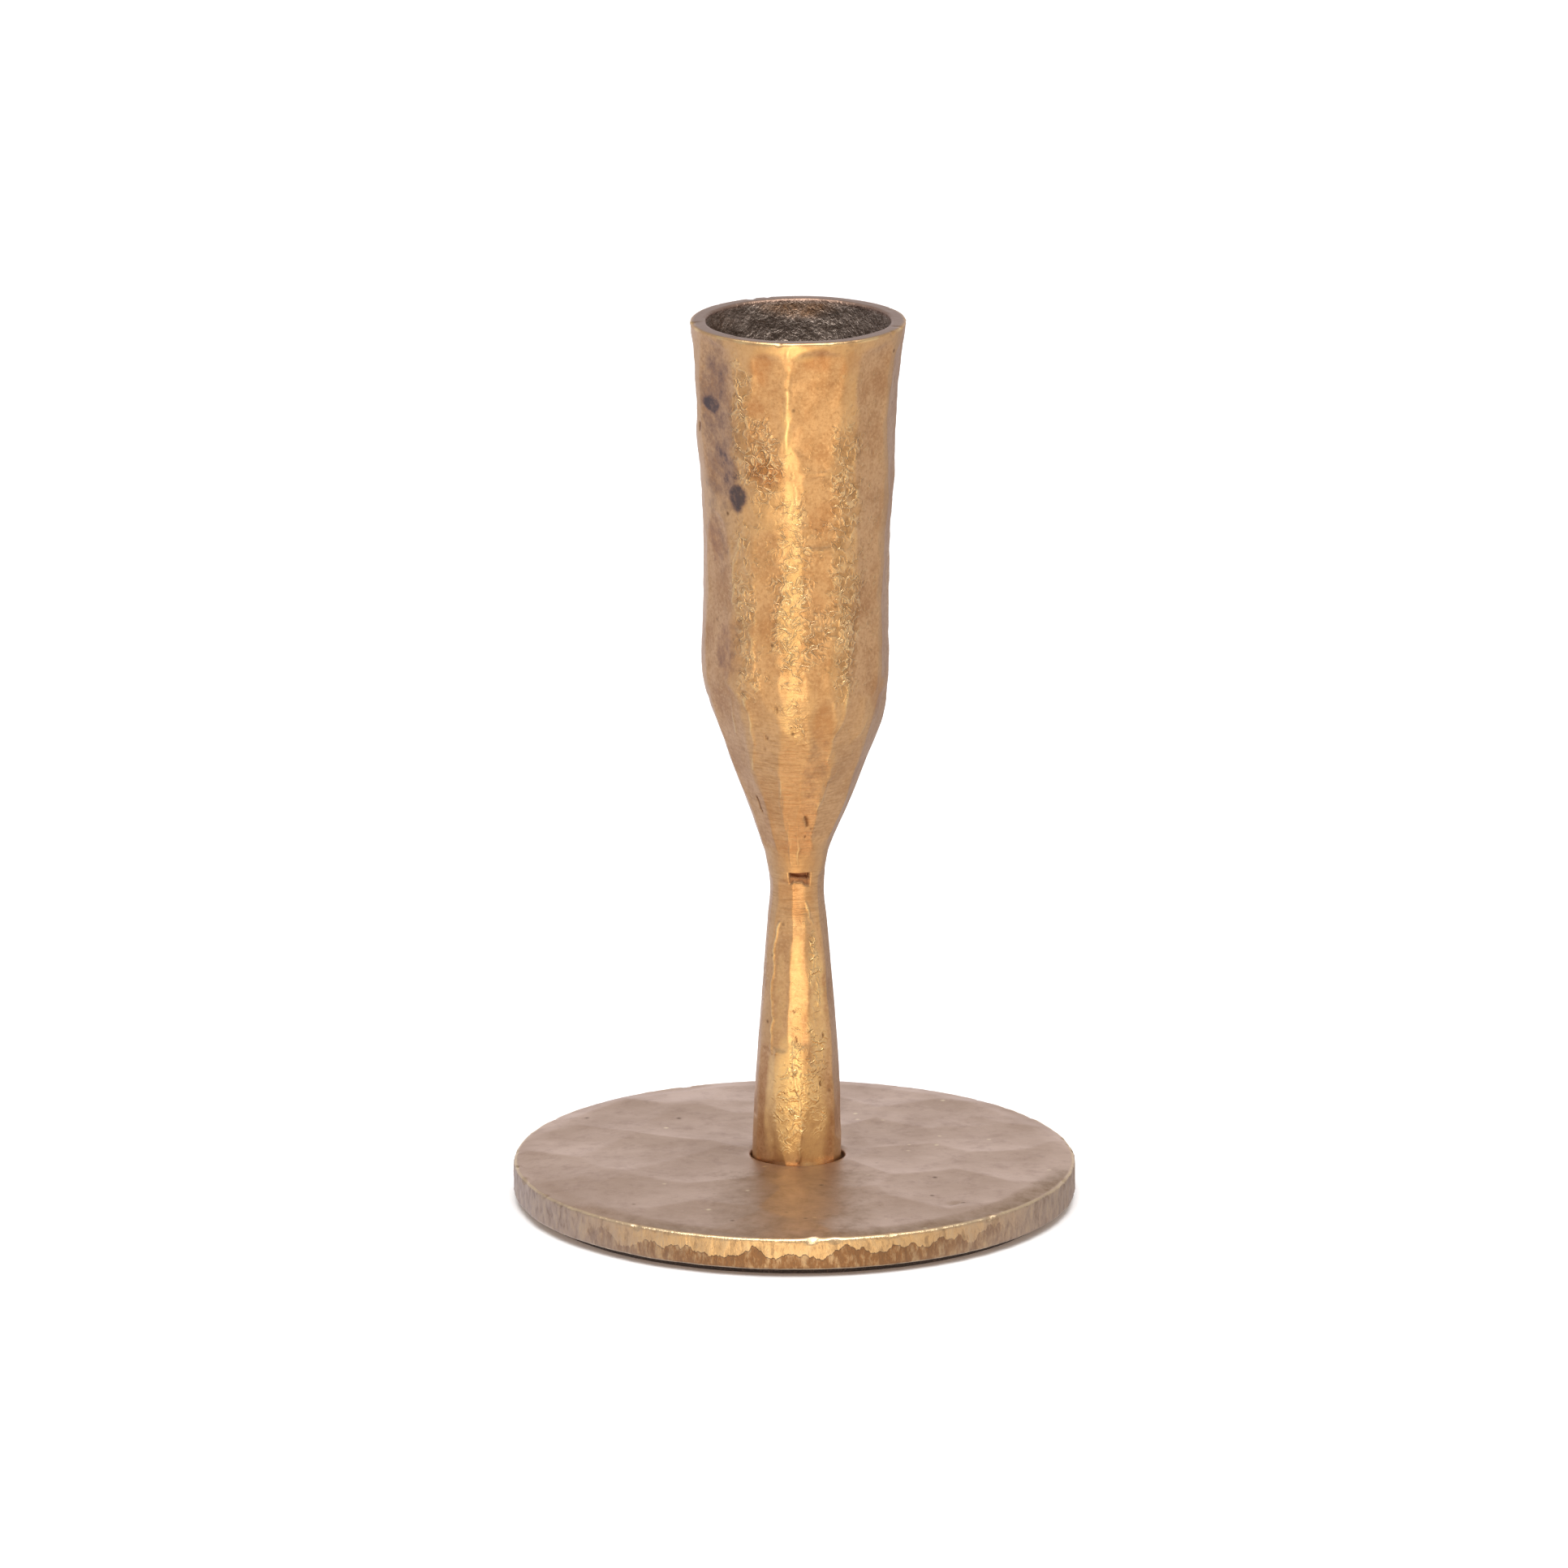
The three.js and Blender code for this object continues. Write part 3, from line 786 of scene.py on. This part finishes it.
def wool_felt():
    """Pressed wool felt: dark brown, matt, with a soft tangle of fibres and a pale bloom at a low angle."""
    material = new_material("wool felt")
    place = add(material, "ShaderNodeTexCoord").outputs["Object"]
    fibres = add(material, "ShaderNodeTexNoise", {
        "Vector": place, "Scale": per(0.5), "Detail": 4.0, "Distortion": 2.5}).outputs["Fac"]
    clumps = add(material, "ShaderNodeTexNoise", {
        "Vector": place, "Scale": per(3), "Detail": 3.0}).outputs["Fac"]
    colour, roughness = layered(material, "33251e", 0.95, [
        (clumps, 0, 1, 1, EVERYWHERE, "241812", 0.95),
        (fibres, 0.5, 0.7, 0.6, EVERYWHERE, "6e584c", 0.9),
    ])
    shader = add(material, "ShaderNodeBsdfPrincipled", {
        "Base Color": colour, "Roughness": roughness, "Normal": embossed(material, [(fibres, 0.8, 0.12)]),
        "Sheen Weight": 0.3, "Sheen Roughness": 0.6})
    add(material, "ShaderNodeOutputMaterial", {"Surface": shader.outputs["BSDF"]})
    return material


def white_paper():
    """The plain studio floor."""
    material = new_material("white paper")
    shader = add(material, "ShaderNodeBsdfPrincipled", {"Base Color": linear("f4f4f4"), "Roughness": 0.9})
    add(material, "ShaderNodeOutputMaterial", {"Surface": shader.outputs["BSDF"]})
    return material


# Pieces


def candle_cup():
    """The cup, from its rim down to the brazed joint, with its socket and the blind hole for the spigot."""
    rim = cup_high.z
    joint = cup_low.z
    floor = rim - SOCKET_DEPTH
    spigot_top = joint + SPIGOT_LENGTH + BRAZE_GAP
    bore = SPIGOT_RADIUS + BRAZE_GAP
    profile = dense([(0, spigot_top), (bore, spigot_top), (bore, joint), (CUP_OUTLINE[0][1], joint)], 1)
    profile += curve(CUP_OUTLINE, joint, rim - 0.3, CUP_SPACING)[1:]
    profile += dense([(RIM_RADIUS - 0.1, rim - 0.1), (RIM_RADIUS - 0.3, rim), (MOUTH_RADIUS + 0.3, rim)], 0.3)
    profile += [(MOUTH_RADIUS + 0.08, rim - 0.1)]
    taper = (MOUTH_RADIUS - SOCKET_FLOOR_RADIUS) / SOCKET_DEPTH
    inner = (MOUTH_RADIUS - taper * MOUTH_DEPTH, rim - MOUTH_DEPTH)
    profile += dense([(MOUTH_RADIUS, rim - 0.3), inner], MOUTH_SPACING)
    profile += dense([inner, (SOCKET_FLOOR_RADIUS, floor + 0.9)], SOCKET_SPACING)[1:]
    profile += dense([(SOCKET_FLOOR_RADIUS - 0.25, floor + 0.25), (SOCKET_FLOOR_RADIUS - 0.9, floor),
                      (0, floor)], 1)
    bm = turned(profile, CUP_SECTORS)
    forge(bm, CUP_OUTLINE, CUP_FLATS, CUP_FOLDS, 1, CUP_SKIN_DEPTH,
          {"stain": STAINS, "red": REDS, "grain": GRAINS, "filed": CONE_FILING, "bare": BARES_AND_PAINTED_HIGHLIGHTS})
    inside, lip = masks(bm, ["inside", "lip"])
    crest, red = bm.verts.layers.float["crest"], bm.verts.layers.float["red"]
    for height, ring in rings(bm).items():
        outside = along(CUP_OUTLINE, height)
        for vert in ring:
            radius = radius_of(vert)
            if height > rim - 0.35 and radius > MOUTH_RADIUS - 0.01:
                outward = smooth(MOUTH_RADIUS, RIM_RADIUS, radius)
                at_corner = smooth(RIM_RADIUS - 0.4, RIM_RADIUS - 0.15, radius)
                vert[lip] = 1 - at_corner
                vert[inside] = smooth(MOUTH_RADIUS + 0.15, MOUTH_RADIUS, radius)
                vert[crest] = at_corner * smooth(-0.35, 0.3, lumps(vert.co, 2.5, 65))
                outer_wave = 0.14 * lumps(vert.co, 7, 61) + 0.05 * rough(vert.co, 1.6, 63)
                inner_wave = 0.22 * lumps(vert.co, 6, 62) + 0.12 * rough(vert.co, 1.8, 64)
                chips = 0.22 * smooth(0.2, 0.55, lumps(vert.co, 1.5, 67)) * outward
                pull(vert, outer_wave * outward + inner_wave * (1 - outward) - chips)
                vert.co.z -= 0.5 * chips
            elif radius < outside - 1 and height > floor - 0.5:
                vert[inside] = 1
                vert[red] = patch_at(SOCKET_REDS, angle_of(vert), rim - height)
                if radius > 1:
                    inner_wave = 0.22 * lumps(vert.co, 6, 62) + 0.12 * rough(vert.co, 1.8, 64)
                    cast = 0.35 * rough(vert.co, 3, 21) + 0.12 * lumps(vert.co, 1.1, 27)
                    depth = smooth(rim, rim - 1.5, height)
                    pull(vert, inner_wave * (1 - depth) + cast * depth)
            if height > rim - RIM_DIP_REACH:
                dip = 0.5 + 0.5 * lumps((vert.co.x, vert.co.y, 0), 8, 69)
                vert.co.z -= RIM_DIP * dip * smooth(rim - RIM_DIP_REACH, rim, height)
    wander(bm)
    finished(bm, "candle_cup", brass)


def stem():
    """The stem, from its foot up to its spigot, with a short gap left in the braze under the cup."""
    foot = stem_low.z
    joint = cup_low.z
    drilled = foot + TAPPED_DEPTH
    spigot_top = joint + SPIGOT_LENGTH
    profile = dense([(0, drilled + 1.2), (TAPPED_RADIUS, drilled), (TAPPED_RADIUS, foot),
                     (FOOT_RADIUS - 0.25, foot)], 1)
    profile += curve(STEM_OUTLINE, foot + 0.2, joint, STEM_SPACING)
    profile += dense([(SPIGOT_RADIUS, joint), (SPIGOT_RADIUS, spigot_top - 0.3),
                      (SPIGOT_RADIUS - 0.3, spigot_top), (0, spigot_top)], 1)
    bm = turned(profile, STEM_SECTORS)
    forge(bm, STEM_OUTLINE, STEM_FLATS, STEM_FOLDS, STEM_FLATNESS, STEM_SKIN_DEPTH,
          {"stain": [], "red": STEM_REDS, "grain": STEM_GRAINS, "filed": STEM_FILING, "bare": STEM_BARES_AND_PAINTED_HIGHLIGHTS})
    notch, = masks(bm, ["notch"])
    for vert in bm.verts:
        angle = angle_of(vert)
        ragged = 0.2 * lumps(vert.co, 0.8, 71)
        top = joint - 0.25 * smooth(-15, 28, angle)
        bottom = joint - 1.5 - 0.3 * smooth(12, 26, angle) + 0.3 * smooth(-4, 4, 11 - abs(angle - 4))
        across = smooth(-17, -14, angle) * smooth(30, 27, angle)
        in_notch = across * smooth(bottom - 0.1, bottom + 0.1, vert.co.z + ragged)
        if in_notch > 0 and radius_of(vert) > SPIGOT_RADIUS + 1 and vert.co.z < joint + 0.01:
            deep = smooth(top - 0.65, top - 0.4, vert.co.z)
            vert[notch] = in_notch * (0.75 + 0.25 * deep)
            pull(vert, -NOTCH_DEPTH * in_notch * (0.35 + 0.65 * deep))
    wander(bm)
    finished(bm, "stem", brass)


def wander(bm):
    """Leans a forged piece about as its bar bent under the hammer, except round the tapped hole."""
    for height, ring in rings(bm).items():
        shift = along(WANDER, height)
        for vert in ring:
            if radius_of(vert) > TAPPED_RADIUS + 0.01 or height > stem_low.z + TAPPED_DEPTH + 2:
                vert.co.x += shift


def base_plate():
    """The plate: crowned and hammered, with a ragged sheared edge and the recess that the foot stands in."""
    radius = plate_high.x
    bottom = plate_low.z
    top = plate_high.z
    edge = bottom + EDGE_THICKNESS
    recess = stem_low.z
    profile = dense([(COUNTERSINK_RADIUS, bottom), (radius - 0.3, bottom)], 1.5)
    profile += [(radius - 0.1, bottom + 0.1)]
    profile += dense([(radius, bottom + 0.3), (radius, edge - 0.3)], 0.3)
    profile += [(radius - 0.1, edge - 0.1)]
    profile += dense([(radius - 0.3, edge), (radius - 3, edge + 0.35), (radius - 12, edge + 0.65),
                      (radius - 24, top), (RECESS_RADIUS + 0.3, top)], PLATE_SPACING)
    profile += dense([(RECESS_RADIUS, top - 0.3), (RECESS_RADIUS, recess), (CLEARANCE_RADIUS, recess)], 0.6)
    profile += dense([(CLEARANCE_RADIUS, bottom + COUNTERSINK_RADIUS - CLEARANCE_RADIUS),
                      (COUNTERSINK_RADIUS, bottom)], 0.6)
    bm = turned(profile, PLATE_SECTORS)
    wall, corner, band, bare = masks(bm, ["wall", "corner", "band", "bare"])
    for vert in bm.verts:
        place = vert.co.copy()
        out = radius_of(vert)
        angle = angle_of(vert)
        if out > radius - 0.35:
            vert[wall] = smooth(edge + 0.02, edge - 0.12, place.z)
            at_top = smooth(edge - 0.4, edge - 0.1, place.z)
            at_bottom = smooth(bottom + 0.35, bottom + 0.1, place.z)
            vert[corner] = max(at_top, at_bottom)
            vert[bare] = patch_at(PLATE_BARES, angle, place.z)
            torn = 0.1 * lumps((place.x, place.y, 0), 9, 81) + 0.16 * rough(place, 1.7, 83)
            pull(vert, torn - 0.15)
            if place.z > edge - 0.4:
                nicks = 0.25 * smooth(0.3, 0.65, lumps(place, 1.6, 87))
                pull(vert, -nicks)
                vert.co.z -= 0.7 * nicks
        elif place.z > recess + 0.1 and out > RECESS_RADIUS - 0.01:
            # Painted shade: the band browns the top along the front edge and in front of the stem
            off_front = abs(angle - 20 + 9 * lumps(place, 6, 89))
            painted_shade_at_front_edge = smooth(75, 50, off_front) * smooth(radius - 5, radius - 1, out)
            painted_shade_before_stem = 0.75 * smooth(16, 5, abs(place.x)) * smooth(-4, -10, place.y)
            vert[band] = max(painted_shade_at_front_edge, painted_shade_before_stem)
            edge_share = smooth(radius, radius - 2, out)
            blow = noise.voronoi(Vector((place.x, place.y, 40)) / BLOW_SIZE)[0][0]
            dents = BLOW_DEPTH * min(blow, 0.8)**2
            dents += 0.04 * lumps(place, 5, 93) + 0.012 * rough(place, 1.5, 97)
            vert.co.z += (dents - 0.2) * edge_share * smooth(RECESS_RADIUS - 0.5, RECESS_RADIUS + 2, out)
            nick = 1 - smooth(0.2, 1, math.hypot((angle - NICK_ANGLE) * 0.25, (out - NICK_RADIUS) / 0.5))
            vert.co.z -= NICK_DEPTH * nick
            # The nick's brown is painted shade too
            vert[band] = max(vert[band], nick)
        if out > CLEARANCE_RADIUS + 0.01 and place.z > recess - 0.01:
            vert.co.x += RECESS_OFFSET * smooth(22, 8, out)
    finished(bm, "base_plate", plate_brass)


def felt_pad():
    """The felt ring glued under the plate: one flat sheet, a little uneven along its cut edges."""
    profile = [(FELT_HOLE_RADIUS, felt_low.z), (felt_high.x, felt_low.z), (felt_high.x, felt_high.z),
               (FELT_HOLE_RADIUS, felt_high.z), (FELT_HOLE_RADIUS, felt_low.z)]
    bm = turned(dense(profile, 0.5), FELT_SECTORS)
    for vert in bm.verts:
        pull(vert, 0.12 * rough(vert.co, 2.5, 101) - 0.1)
    piece = finished(bm, "felt_pad", felt)


brass = forged_brass()
plate_brass = browned_plate_brass()
felt = wool_felt()

candle_cup()
stem()
base_plate()
felt_pad()
screw_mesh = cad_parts["base_screw"].data
screw_mesh.materials.clear()
screw_mesh.materials.append(turned_screw_brass())


# Camera, floor and light

LENS = 312.4
CAMERA_DISTANCE = 1.7263
CAMERA_ELEVATION = math.radians(14.99)
AIM = Vector((-0.00135, 0, 0.0545))

scene = bpy.context.scene
scene.view_settings.view_transform = "Standard"

camera = bpy.data.objects.new("camera", bpy.data.cameras.new("camera"))
camera.data.lens = LENS
camera.data.sensor_width = 36
camera.data.clip_end = 100
camera.location = AIM + CAMERA_DISTANCE * Vector((0, -math.cos(CAMERA_ELEVATION), math.sin(CAMERA_ELEVATION)))
camera.rotation_euler = (AIM - camera.location).to_track_quat("-Z", "Y").to_euler()
scene.collection.objects.link(camera)
scene.camera = camera

floor_bm = bmesh.new()
bmesh.ops.create_grid(floor_bm, x_segments=1, y_segments=1, size=20)
floor_mesh = bpy.data.meshes.new("floor")
floor_bm.to_mesh(floor_mesh)
floor_bm.free()
floor_mesh.materials.append(white_paper())
floor = bpy.data.objects.new("floor", floor_mesh)
scene.collection.objects.link(floor)
floor.visible_glossy = False


def softbox(name, azimuth, elevation, distance, width, tall, power, colour):
    """An area light that faces the candlestick from an azimuth and elevation in degrees."""
    lamp = bpy.data.lights.new(name, "AREA")
    lamp.shape = "RECTANGLE"
    lamp.size = width
    lamp.size_y = tall
    lamp.energy = power
    lamp.color = linear(colour)[:3]
    light = bpy.data.objects.new(name, lamp)
    a, e = math.radians(azimuth), math.radians(elevation)
    direction = Vector((math.sin(a) * math.cos(e), -math.cos(a) * math.cos(e), math.sin(e)))
    light.location = AIM + distance * direction
    light.rotation_euler = (AIM - light.location).to_track_quat("-Z", "Y").to_euler()
    scene.collection.objects.link(light)


def studio_walls():
    """The room's light: cool walls, warm bright ground in front, a bright band behind and a dim ceiling."""
    world = bpy.data.worlds.new("studio")
    world.use_nodes = True
    world.node_tree.nodes.clear()
    way = add(world, "ShaderNodeTexCoord").outputs["Generated"]
    direction = add(world, "ShaderNodeSeparateXYZ", {"Vector": way}).outputs
    front, back, right, low, raised, ceiling, behind, far_right, above_front = [
        add(world, "ShaderNodeMapRange", {
            "Value": direction[axis], "From Min": start, "From Max": end}).outputs["Result"]
        for axis, start, end in [
            ("Y", 0, -0.95), ("Y", 0.5, 0.95), ("X", -0.8, 0.8), ("Z", 0.2, -0.1), ("Z", 0, 0.14),
            ("Z", 0.22, 0.36), ("Y", 0.3, 0.75), ("X", -0.1, 0.3), ("Z", 0.05, 0.18)]]
    sunlit_way = add(world, "ShaderNodeVectorMath", {
        0: way, 1: (-0.05, -0.955, -0.29)}, operation="DOT_PRODUCT").outputs["Value"]
    sunlit = add(world, "ShaderNodeMapRange", {
        "Value": sunlit_way, "From Min": 0.94, "From Max": 0.99}).outputs["Result"]
    low_front, raised_front, raised_back, right_back = [
        add(world, "ShaderNodeMath", {0: one, 1: other}, operation="MULTIPLY").outputs[0]
        for one, other in [(front, low), (front, above_front), (back, raised), (behind, far_right)]]
    colour = (0.86, 0.86, 1.0, 1)
    for share, part_colour in [
            (right, (0.88, 0.84, 0.88, 1)),
            (low_front, (1.4, 1.2, 0.9, 1)),
            (sunlit, (3.4, 2.85, 2.1, 1)),
            (raised_front, (0.3, 0.28, 0.28, 1)),
            (back, (0.86, 0.86, 0.98, 1)),
            (right_back, (0.55, 0.52, 0.55, 1)),
            (raised_back, (1.22, 1.18, 1.22, 1)),
            (ceiling, (0.6, 0.59, 0.6, 1))]:
        colour = add(world, "ShaderNodeMix", {0: share, MIX_A: colour, MIX_B: part_colour},
                     data_type="RGBA", clamp_result=False).outputs[MIX_RESULT]
    background = add(world, "ShaderNodeBackground", {"Color": colour})
    add(world, "ShaderNodeOutputWorld", {"Surface": background.outputs["Background"]})
    return world


softbox("key", -3, 3.5, 2.2, 0.6, 0.3, 2, "fff2d8")
softbox("overhead", 0, 75, 1.8, 1.6, 1.6, 44, "ffffff")
scene.world = studio_walls()
